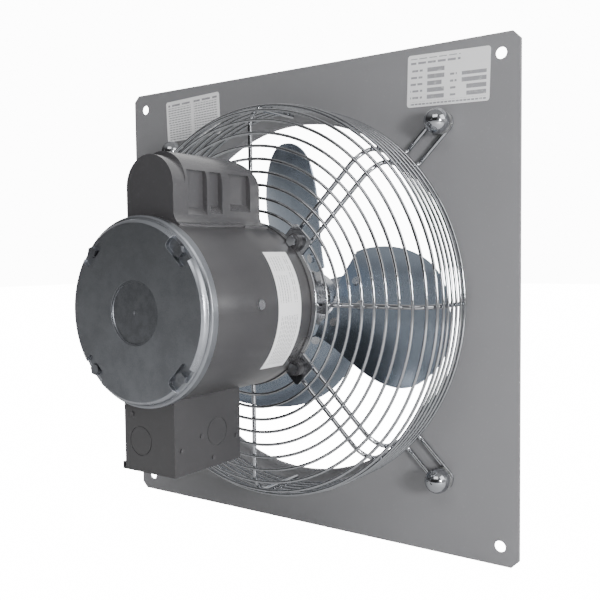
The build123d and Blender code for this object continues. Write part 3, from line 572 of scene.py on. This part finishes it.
def instance_tree(name):
    """A node tree that puts a template object on each point, then makes it real."""
    tree = bpy.data.node_groups.new(name, "GeometryNodeTree")
    face = tree.interface
    face.new_socket("Geometry", in_out="INPUT", socket_type="NodeSocketGeometry")
    face.new_socket("Template", in_out="INPUT", socket_type="NodeSocketObject")
    face.new_socket("Size", in_out="INPUT", socket_type="NodeSocketFloat")
    face.new_socket("Size Spread", in_out="INPUT", socket_type="NodeSocketFloat")
    face.new_socket("Seed", in_out="INPUT", socket_type="NodeSocketInt")
    face.new_socket("Material", in_out="INPUT", socket_type="NodeSocketMaterial")
    face.new_socket("Geometry", in_out="OUTPUT", socket_type="NodeSocketGeometry")
    nodes, links = tree.nodes, tree.links
    source, target = nodes.new("NodeGroupInput"), nodes.new("NodeGroupOutput")
    points = nodes.new("GeometryNodeMeshToPoints")
    info = nodes.new("GeometryNodeObjectInfo")
    place = nodes.new("GeometryNodeInstanceOnPoints")
    facing = nodes.new("GeometryNodeInputNamedAttribute")
    facing.data_type = "FLOAT_VECTOR"
    facing.inputs["Name"].default_value = "facing"
    align = nodes.new("FunctionNodeAlignRotationToVector")
    align.axis = "Z"
    random = nodes.new("FunctionNodeRandomValue")
    random.data_type = "FLOAT"
    real = nodes.new("GeometryNodeRealizeInstances")
    skin = nodes.new("GeometryNodeSetMaterial")
    low = nodes.new("ShaderNodeMath")
    low.operation = "SUBTRACT"
    high = nodes.new("ShaderNodeMath")
    high.operation = "ADD"
    for node in (low, high):
        links.new(source.outputs["Size"], node.inputs[0])
        links.new(source.outputs["Size Spread"], node.inputs[1])
    links.new(low.outputs[0], random.inputs[2])
    links.new(high.outputs[0], random.inputs[3])
    links.new(source.outputs["Seed"], random.inputs["Seed"])
    links.new(source.outputs["Geometry"], points.inputs["Mesh"])
    links.new(source.outputs["Template"], info.inputs["Object"])
    links.new(points.outputs[0], place.inputs["Points"])
    links.new(info.outputs["Geometry"], place.inputs["Instance"])
    links.new(facing.outputs["Attribute"], align.inputs["Vector"])
    links.new(align.outputs[0], place.inputs["Rotation"])
    links.new(random.outputs[1], place.inputs["Scale"])
    links.new(place.outputs[0], real.inputs[0])
    links.new(real.outputs[0], skin.inputs["Geometry"])
    links.new(source.outputs["Material"], skin.inputs["Material"])
    links.new(skin.outputs[0], target.inputs[0])
    return tree


def scatter(name, points, facings, template, material, size=1.0, spread=0.0, seed=1):
    """Copies of a template on points, turned to face along vectors, as one mesh."""
    obj = mesh_object(name, points, [])
    attribute = obj.data.attributes.new("facing", "FLOAT_VECTOR", "POINT")
    for item, facing in zip(attribute.data, facings):
        item.vector = facing
    tree = instance_tree(name + " layout")
    modifier = obj.modifiers.new("layout", "NODES")
    modifier.node_group = tree
    values = {"Template": template, "Size": size, "Size Spread": spread, "Seed": seed, "Material": material}
    for item in tree.interface.items_tree:
        if item.in_out == "INPUT" and item.name in values:
            modifier[item.identifier] = values[item.name]
    bake_modifiers(obj)
    bpy.data.objects.remove(template)
    shade(obj, 35.0)
    return obj


def lathe(name, profile, segments):
    """A solid turned about +Z from (radius, height) points in millimetres, bottom to top, closed on the axis."""
    bm = bmesh.new()
    rings = []
    for radius, height in profile:
        if radius < 1e-6:
            rings.append([bm.verts.new((0, 0, height * MM))])
            continue
        turns = [2 * math.pi * i / segments for i in range(segments)]
        rings.append([
            bm.verts.new((radius * MM * math.cos(a), radius * MM * math.sin(a), height * MM)) for a in turns
        ])
    for low, high in zip(rings, rings[1:]):
        for i in range(segments):
            j = (i + 1) % segments
            if len(low) == 1:
                bm.faces.new((low[0], high[j], high[i]))
            elif len(high) == 1:
                bm.faces.new((low[i], low[j], high[0]))
            else:
                bm.faces.new((low[i], low[j], high[j], high[i]))
    bmesh.ops.recalc_face_normals(bm, faces=bm.faces)
    mesh = bpy.data.meshes.new(name)
    bm.to_mesh(mesh)
    bm.free()
    return new_object(name, mesh)


def make_guard(setting):
    """Chromes the guard's wires and puts a weld where each pair meets."""
    chrome = metal_material(
        "Guard chrome", setting.chrome_color, [c * 0.7 for c in setting.chrome_color], roughness=0.1, spread=0.04,
        cloud=60.0, amount=0.35, grain=400.0, bump_mm=0.01,
    )
    wires = ["guard_front_rings", "guard_shoulder_rings", "guard_side_rings"]
    wires += [f"guard_{kind}_{i}" for kind in ("rib", "strut") for i in (1, 2, 3, 4)]
    dress(wires, chrome)
    spots = weld_spots()
    nugget = lathe("weld template", [(0, -0.75), (0.85, -0.6), (1.35, 0.0), (0.85, 0.6), (0, 0.75)], 10)
    welds = scatter("guard_welds", spots, [(0, -1, 0)] * len(spots), nugget, chrome, 1.0, 0.18, 7)
    finish_piece(welds, chrome)


def make_feet(setting):
    """Bright plating on the dome nuts, the plates that carry the motor and the bolts through them."""
    nut = metal_material(
        "Dome nut plating", setting.chrome_color, [c * 0.75 for c in setting.chrome_color],
        roughness=0.1, spread=0.05, cloud=120.0, amount=0.3, grain=900.0,
    )
    dress(["guard_dome_nuts", "guard_motor_tabs", "motor_mounting_bolts"], nut)


# ---- stage ----------------------------------------------------------------

# Where the camera stands, in metres, and the three directions that it is turned to.
CAMERA_PLACE = (0.43754, -0.62051, 0.04084)
CAMERA_RIGHT = (0.81804, 0.57505, -0.01153)
CAMERA_DOWN = (0.02256, -0.05212, -0.99839)
CAMERA_FORWARD = (-0.57472, 0.81646, -0.05561)

# How bright the surround and the floor are to the camera alone.
WHITE_OUT = 16.0

# Soft lights: name, place, point aimed at and size in metres, and share of the key light's power.
FAN_MIDDLE = (0.0, -0.1, 0.0)
LIGHTS = (
    ("key", (1.15, -0.62, 0.13), FAN_MIDDLE, (0.22, 0.22), 1.0),
    ("streak", (0.62, 0.45, 0.09), (0.06, -0.13, 0.0), (0.05, 0.03), 0.012),
    ("right sheet", (1.3, -0.1, 0.7), FAN_MIDDLE, (1.0, 0.8), 0.6),
    ("top fill", (0.5, -1.8, 1.6), FAN_MIDDLE, (1.6, 1.0), 1.2),
)


def soft_light(name, place, aim, size, power):
    """A square area light aimed at a point."""
    light = bpy.data.lights.new(name, "AREA")
    light.shape = "RECTANGLE"
    light.size, light.size_y = size
    light.energy = power
    obj = bpy.data.objects.new(name, light)
    bpy.context.scene.collection.objects.link(obj)
    obj.location = place
    obj.rotation_euler = (Vector(aim) - Vector(place)).to_track_quat("-Z", "Y").to_euler()
    return obj


def make_world():
    """A white surround that the camera sees; for reflections a dim room, white behind the panel and to the right."""
    world = bpy.data.worlds.new("Studio")
    world.use_nodes = True
    bpy.context.scene.world = world
    tree = world.node_tree
    tree.nodes.clear()
    place = tree.nodes.new("ShaderNodeTexCoord").outputs["Generated"]
    split = tree.nodes.new("ShaderNodeSeparateXYZ")
    tree.links.new(place, split.inputs[0])
    right = span(tree, split.outputs[0], 0.4, 0.95, 0.0, 0.75)
    behind = span(tree, split.outputs[1], 0.05, 0.6, 0.0, 1.3)
    above = span(tree, split.outputs[2], 0.3, 0.9, 0.0, 0.55)
    below = span(tree, split.outputs[2], -0.5, -0.1, 0.3, 0.0)
    level = maths(tree, "MAXIMUM", maths(tree, "MAXIMUM", right, behind), maths(tree, "MAXIMUM", above, below))
    level = maths(tree, "ADD", level, 0.07)
    lit = tree.nodes.new("ShaderNodeBackground")
    tree.links.new(level, lit.inputs[1])
    seen = tree.nodes.new("ShaderNodeBackground")
    seen.inputs[1].default_value = WHITE_OUT
    path = tree.nodes.new("ShaderNodeLightPath")
    mix = tree.nodes.new("ShaderNodeMixShader")
    tree.links.new(path.outputs["Is Camera Ray"], mix.inputs[0])
    tree.links.new(lit.outputs[0], mix.inputs[1])
    tree.links.new(seen.outputs[0], mix.inputs[2])
    tree.links.new(mix.outputs[0], tree.nodes.new("ShaderNodeOutputWorld").inputs[0])


def make_stage(setting):
    """Pale floor, soft lights and the camera."""
    floor_height = CAD_BOUNDS[0][2] - 0.0002
    bm = bmesh.new()
    bmesh.ops.create_grid(bm, x_segments=1, y_segments=1, size=6.0)
    bmesh.ops.translate(bm, verts=bm.verts, vec=(0, 0, floor_height))
    mesh = bpy.data.meshes.new("floor")
    bm.to_mesh(mesh)
    bm.free()
    floor = new_object("floor", mesh)
    material, tree, shader, place = new_material("Pale floor", 0.7, 0.0)
    tone = span(tree, noise(tree, place, 3.0), 0.2, 0.8, 0.9, 0.94)
    combined = tree.nodes.new("ShaderNodeCombineColor")
    for socket in combined.inputs[:3]:
        tree.links.new(tone, socket)
    tree.links.new(combined.outputs[0], shader.inputs["Base Color"])
    glow = tree.nodes.new("ShaderNodeEmission")
    glow.inputs[1].default_value = WHITE_OUT
    path = tree.nodes.new("ShaderNodeLightPath")
    mix = tree.nodes.new("ShaderNodeMixShader")
    tree.links.new(path.outputs["Is Camera Ray"], mix.inputs[0])
    tree.links.new(shader.outputs[0], mix.inputs[1])
    tree.links.new(glow.outputs[0], mix.inputs[2])
    tree.links.new(mix.outputs[0], tree.nodes["Material Output"].inputs[0])
    floor.data.materials.append(material)

    make_world()
    for name, place, aim, size, share in LIGHTS:
        soft_light(name, place, aim, size, setting.key_power * share)

    data = bpy.data.cameras.new("camera")
    data.lens = setting.lens
    data.sensor_width = 36.0
    data.clip_start = 0.01
    camera = bpy.data.objects.new("camera", data)
    bpy.context.scene.collection.objects.link(camera)
    right, down, forward = Vector(CAMERA_RIGHT), Vector(CAMERA_DOWN), Vector(CAMERA_FORWARD)
    turn = Matrix((right, -down, -forward)).transposed().normalized()
    camera.matrix_world = Matrix.Translation(CAMERA_PLACE) @ turn.to_4x4()
    bpy.context.scene.camera = camera


# ---- panel ----------------------------------------------------------------

# The stickers' middles and sizes in millimetres, and their tilts in degrees.
RATING_CENTRE, RATING_SIZE, RATING_TILT = (154.0, 186.6), (74.0, 43.5), -1.8
NOTES_CENTRE, NOTES_SIZE, NOTES_TILT = (-131.0, 184.4), (73.5, 42.0), 2.2


def make_panel(setting):
    """Paint for the panel, and stickers whose wording is blank lines."""
    paint = paint_material(
        "Panel paint", setting.panel_color, roughness=0.42, spread=0.1, dust=0.08, grain=1400.0, bump_mm=0.02
    )
    dress(["mounting_panel"], paint)
    rating = label_material(
        "Rating sticker", RATING_CENTRE, RATING_SIZE, RATING_TILT,
        [
            (-0.92, 0.30, 0.62, 0.86, 4.2, 9.0, 0.42),
            (-0.92, -0.62, -0.72, 0.50, 5.6, 7.0, 0.3),
            (-0.50, -0.08, -0.72, 0.50, 5.6, 40.0, 0.62),
            (0.06, 0.22, -0.72, 0.18, 5.6, 6.0, 0.3),
            (0.34, 0.92, -0.72, 0.18, 5.6, 40.0, 0.62),
            (-0.92, 0.92, -0.94, -0.80, 2.6, 3.4, 0.5),
        ],
        setting.paper_color, (0.22, 0.22, 0.24),
    )
    dress(["rating_label"], rating)
    notes = label_material(
        "Instruction sticker", NOTES_CENTRE, NOTES_SIZE, NOTES_TILT,
        [
            (-0.92, -0.06, 0.74, 0.90, 4.6, 14.0, 0.6),
            (0.06, 0.92, 0.74, 0.90, 4.6, 14.0, 0.6),
            (-0.92, -0.06, -0.92, 0.66, 2.5, 4.3, 0.42),
            (0.06, 0.92, -0.92, 0.66, 2.5, 3.7, 0.42),
        ],
        setting.paper_color, (0.2, 0.2, 0.22),
    )
    dress(["instruction_label"], notes)


# ---- motor ----------------------------------------------------------------


def motor_paint(setting, name="Motor paint", share=1.0, roughness=0.3, coat=0.5):
    """The dark satin paint of the motor's shell, cover and box, in one gloss for each; share scales the one paint's
    tone, as painted light on a part that is lit more and painted shade on one that is lit less.
    """
    if name in bpy.data.materials:
        return bpy.data.materials[name]
    # share above 1 is a lit copy and below 1 a shaded copy of the same paint: painted light and painted shade, not a
    # different paint.
    color = [c * share for c in setting.motor_color]
    return paint_material(
        name, color, roughness=roughness, spread=0.2, dust=0.1, grain=700.0, bump_mm=0.02, coat=coat
    )


def nameplate_material(name, setting):
    """A wrap-round plate with blank lines, laid out by angle and depth."""
    material, tree, shader, place = new_material(name, 0.45, 0.0, Coat_Weight=0.3, Coat_Roughness=0.25)
    split = tree.nodes.new("ShaderNodeSeparateXYZ")
    tree.links.new(place, split.inputs[0])
    angle = maths(tree, "ARCTAN2", split.outputs[2], split.outputs[0])
    around = maths(tree, "MULTIPLY", angle, NAMEPLATE_RADIUS * MM)
    along = maths(tree, "ADD", split.outputs[1], NAMEPLATE_DEPTH * MM)
    mask = print_mask(tree, around, along, (
        (-0.050, -0.006, -0.012, 0.011, 2.3, 3.6, 0.4),
        (0.004, 0.026, -0.012, 0.002, 3.4, 2.2, 0.3),
        (0.004, 0.043, 0.006, 0.012, 2.8, 6.0, 0.32),
        (0.030, 0.043, -0.012, 0.002, 3.4, 2.6, 0.3),
    ))
    paper = [c * 1.05 for c in setting.paper_color]
    stain = maths(tree, "MULTIPLY", noise(tree, place, 60.0), 0.15)
    base = blend(tree, stain, rgba(paper), rgba([c * 0.7 for c in paper]))
    worn = maths(tree, "MULTIPLY", mask, span(tree, noise(tree, place, 260.0), 0.2, 0.5, 0.4, 0.8))
    tree.links.new(blend(tree, worn, base, (0.3, 0.3, 0.31, 1)), shader.inputs["Base Color"])
    return material


def make_motor(setting):
    """Rounded and finished end bells, painted shell, nameplate and plug."""
    paint = motor_paint(setting)
    dress(["motor_shell"], paint)
    bell = softened("motor_rear_end_bell", "rear_end_bell_rounded", 0.5)
    finish_piece(bell, bell_material("End bell casting"))
    drive = softened("motor_drive_end_bell", "drive_end_bell_rounded", 0.6)
    finish_piece(drive, paint)
    cap = metal_material(
        "Bearing cap", [c * 0.75 for c in setting.bell_color], [c * 0.4 for c in setting.bell_color],
        roughness=0.45, cloud=160.0, amount=0.5, grain=900.0,
    )
    dress(["rear_bearing_cap"], cap)
    dress(["motor_nameplate"], nameplate_material("Nameplate print", setting))
    dress(["shell_plug"], metal_material("Plug", (0.5, 0.5, 0.52), (0.25, 0.25, 0.26), roughness=0.3, cloud=300.0))


def make_cover(setting):
    """The capacitor cover with drawn, rounded edges."""
    cover = softened("capacitor_cover", "capacitor_cover_rounded", 1.1, 4, 30.0)
    # The cover takes the motor paint a quarter lighter: painted light on the cover.
    finish_piece(cover, motor_paint(setting, "Cover paint painted lighter", 1.25, 0.2, 0.8))


def make_box(setting):
    """The conduit box and its lid with folded edges."""
    # The box takes the motor paint a fifth darker: painted shade on the box and its lid.
    paint = motor_paint(setting, "Box paint painted darker", 0.8, 0.36, 0.4)
    box = softened("conduit_box", "conduit_box_rounded", 0.5)
    finish_piece(box, paint)
    lid = softened("conduit_box_lid", "conduit_box_lid_rounded", 0.5)
    finish_piece(lid, paint)


# ---- propeller ------------------------------------------------------------


def make_propeller(setting):
    """Rolled sheet blades, plated spider and hub, ground shaft."""
    color = setting.blade_color
    sheet = metal_material(
        "Blade sheet", color, [c * 0.72 for c in color], roughness=0.22, spread=0.06, cloud=12.0, amount=0.3,
        grain=90.0, stretch=(1, 1, 3), bump_mm=0.0,
    )
    dress([f"propeller_blade_{i}" for i in (1, 2, 3)], sheet)
    plated = metal_material(
        "Spider plating", (0.66, 0.67, 0.69), (0.4, 0.41, 0.44), roughness=0.26, spread=0.16, cloud=50.0, amount=0.5
    )
    dress(["propeller_spider", "propeller_hub", "blade_rivets"], plated)
    ground = metal_material(
        "Ground shaft", (0.55, 0.55, 0.56), (0.32, 0.3, 0.29), roughness=0.25, cloud=60.0, amount=0.35,
        grain=200.0, stretch=(1, 30, 1),
    )
    dress(["motor_shaft"], ground)


# ---- fasteners ------------------------------------------------------------


def make_fasteners(setting):
    """Zinc on the studs, washers, nuts and lid screws, paint on the other screws, dull heads on the through bolts."""
    zinc = metal_material(
        "Zinc plating", (0.56, 0.56, 0.55), (0.33, 0.33, 0.32), roughness=0.34, spread=0.2, cloud=240.0, amount=0.5
    )
    dress(["guard_washers", "guard_studs", "motor_clinch_nuts", "hub_set_screw", "conduit_box_lid_screws"], zinc)
    dress(["capacitor_cover_screws", "conduit_box_screws"], motor_paint(setting))
    dull = [c * 0.9 for c in setting.bell_color]
    bolt = metal_material("Bolt heads", dull, [c * 0.5 for c in dull], roughness=0.4, cloud=200.0, amount=0.4)
    dress(["motor_through_bolts"], bolt)


def make_inside(setting):
    """Finishes for what is closed in."""
    steel = metal_material(
        "Core steel", (0.2, 0.2, 0.21), (0.1, 0.1, 0.1), roughness=0.5, grain=300.0, stretch=(1, 12, 1)
    )
    dress(["stator_core", "rotor_core"], steel)
    copper = metal_material(
        "Winding wire", (0.45, 0.16, 0.06), (0.2, 0.06, 0.02), roughness=0.4, cloud=200.0, grain=500.0
    )
    dress(["stator_winding"], copper)
    cast = metal_material("Cast rings", (0.52, 0.52, 0.53), (0.35, 0.35, 0.36), roughness=0.5, cloud=120.0)
    dress(["rotor_end_rings"], cast)
    race = metal_material(
        "Bearing steel", (0.62, 0.62, 0.63), (0.5, 0.5, 0.5), roughness=0.15, cloud=200.0, amount=0.2
    )
    dress(["bearing_inner_races", "bearing_outer_races", "bearing_balls", "bearing_wave_washer"], race)
    brass = metal_material("Terminal brass", (0.62, 0.43, 0.16), (0.4, 0.25, 0.08), roughness=0.3, cloud=300.0)
    dress(["capacitor_terminals", "terminal_posts"], brass)
    dress(["ground_screw"], paint_material("Ground green", (0.03, 0.2, 0.06), roughness=0.35, dust=0.05))
    board = paint_material("Moulded board", (0.07, 0.04, 0.025), roughness=0.5, dust=0.15, grain=400.0)
    dress(["start_switch_plate", "centrifugal_actuator", "terminal_board", "capacitor_cradle"], board)
    dress(["start_capacitor"], paint_material("Capacitor case", (0.018, 0.018, 0.02), roughness=0.35, dust=0.1))
    dress(["lead_grommet"], paint_material("Grommet rubber", (0.015, 0.015, 0.015), roughness=0.75, dust=0.3))


# ---- the add-on -----------------------------------------------------------


class HoodFanSettings(bpy.types.PropertyGroup):
    """Colours and sizes of the fan's finishes."""

    panel_color: bpy.props.FloatVectorProperty(
        name="Panel paint", description="Paint on the mounting panel", subtype="COLOR", size=3, min=0, max=1,
        default=(0.235, 0.235, 0.245),
    )
    motor_color: bpy.props.FloatVectorProperty(
        name="Motor paint", description="Paint on the motor's shell, cover and box", subtype="COLOR", size=3, min=0,
        max=1, default=(0.05, 0.049, 0.052),
    )
    bell_color: bpy.props.FloatVectorProperty(
        name="End bell", description="Bare metal of the rear end bell", subtype="COLOR", size=3, min=0, max=1,
        default=(0.24, 0.25, 0.27),
    )
    chrome_color: bpy.props.FloatVectorProperty(
        name="Chrome", description="Plating on the guard and nuts", subtype="COLOR", size=3, min=0, max=1,
        default=(0.42, 0.43, 0.45),
    )
    blade_color: bpy.props.FloatVectorProperty(
        name="Blades", description="Bare sheet of the propeller", subtype="COLOR", size=3, min=0, max=1,
        default=(0.4, 0.46, 0.54),
    )
    paper_color: bpy.props.FloatVectorProperty(
        name="Stickers", description="Face of the printed stickers", subtype="COLOR", size=3, min=0, max=1,
        default=(0.93, 0.93, 0.94),
    )
    lens: bpy.props.FloatProperty(
        name="Lens", description="Focal length of the camera, in millimetres", default=47.81, min=10, max=300
    )
    key_power: bpy.props.FloatProperty(
        name="Key light", description="Power of the main soft light", default=12.0, min=0, max=2000, unit="POWER"
    )


class HOODFAN_OT_stage(bpy.types.Operator):
    """Sets the floor, the light and the camera"""

    bl_idname = "hoodfan.stage"
    bl_label = "Stage"

    def execute(self, context):
        make_stage(props())
        return {"FINISHED"}


class HOODFAN_OT_panel(bpy.types.Operator):
    """Paints the mounting panel and prints its stickers"""

    bl_idname = "hoodfan.panel"
    bl_label = "Panel and stickers"

    def execute(self, context):
        make_panel(props())
        return {"FINISHED"}


class HOODFAN_OT_guard(bpy.types.Operator):
    """Chromes the wire guard and adds its welds"""

    bl_idname = "hoodfan.guard"
    bl_label = "Guard"

    def execute(self, context):
        make_guard(props())
        return {"FINISHED"}


class HOODFAN_OT_feet(bpy.types.Operator):
    """Plates the dome nuts and what bolts the motor to the guard"""

    bl_idname = "hoodfan.feet"
    bl_label = "Guard feet"

    def execute(self, context):
        make_feet(props())
        return {"FINISHED"}


class HOODFAN_OT_motor(bpy.types.Operator):
    """Finishes the motor's shell, end bells and nameplate"""

    bl_idname = "hoodfan.motor"
    bl_label = "Motor"

    def execute(self, context):
        make_motor(props())
        return {"FINISHED"}


class HOODFAN_OT_cover(bpy.types.Operator):
    """Rounds and paints the capacitor cover"""

    bl_idname = "hoodfan.cover"
    bl_label = "Capacitor cover"

    def execute(self, context):
        make_cover(props())
        return {"FINISHED"}


class HOODFAN_OT_box(bpy.types.Operator):
    """Rounds and paints the conduit box and its lid"""

    bl_idname = "hoodfan.box"
    bl_label = "Conduit box"

    def execute(self, context):
        make_box(props())
        return {"FINISHED"}


class HOODFAN_OT_propeller(bpy.types.Operator):
    """Finishes the blades, spider, hub and shaft"""

    bl_idname = "hoodfan.propeller"
    bl_label = "Propeller"

    def execute(self, context):
        make_propeller(props())
        return {"FINISHED"}


class HOODFAN_OT_fasteners(bpy.types.Operator):
    """Finishes the screws, studs, washers and through bolts"""

    bl_idname = "hoodfan.fasteners"
    bl_label = "Fasteners"

    def execute(self, context):
        make_fasteners(props())
        return {"FINISHED"}


class HOODFAN_OT_inside(bpy.types.Operator):
    """Finishes what the motor, cover and box enclose"""

    bl_idname = "hoodfan.inside"
    bl_label = "Inside"

    def execute(self, context):
        make_inside(props())
        return {"FINISHED"}


STEPS = (
    HOODFAN_OT_stage,
    HOODFAN_OT_panel,
    HOODFAN_OT_guard,
    HOODFAN_OT_feet,
    HOODFAN_OT_motor,
    HOODFAN_OT_cover,
    HOODFAN_OT_box,
    HOODFAN_OT_propeller,
    HOODFAN_OT_fasteners,
    HOODFAN_OT_inside,
)


class HOODFAN_PT_sidebar(bpy.types.Panel):
    """Lists the settings and the steps"""

    bl_label = "Exhaust Hood Fan"
    bl_idname = "HOODFAN_PT_sidebar"
    bl_space_type = "VIEW_3D"
    bl_region_type = "UI"
    bl_category = "Hood Fan"

    def draw(self, context):
        for name in HoodFanSettings.__annotations__:
            self.layout.prop(context.scene.hood_fan, name)
        for step in STEPS:
            self.layout.operator(step.bl_idname)


CLASSES = (HoodFanSettings, *STEPS, HOODFAN_PT_sidebar)


def register():
    """Adds the classes and the scene's settings."""
    for item in CLASSES:
        bpy.utils.register_class(item)
    bpy.types.Scene.hood_fan = bpy.props.PointerProperty(type=HoodFanSettings)


def unregister():
    """Takes the settings and the classes away."""
    del bpy.types.Scene.hood_fan
    for item in reversed(CLASSES):
        bpy.utils.unregister_class(item)


def main():
    """Runs every step in order."""
    register()
    for step in STEPS:
        area, name = step.bl_idname.split(".")
        if getattr(getattr(bpy.ops, area), name)() != {"FINISHED"}:
            raise RuntimeError(f"{step.bl_idname} did not finish")
    bpy.context.view_layer.update()


if __name__ == "__main__":
    main()
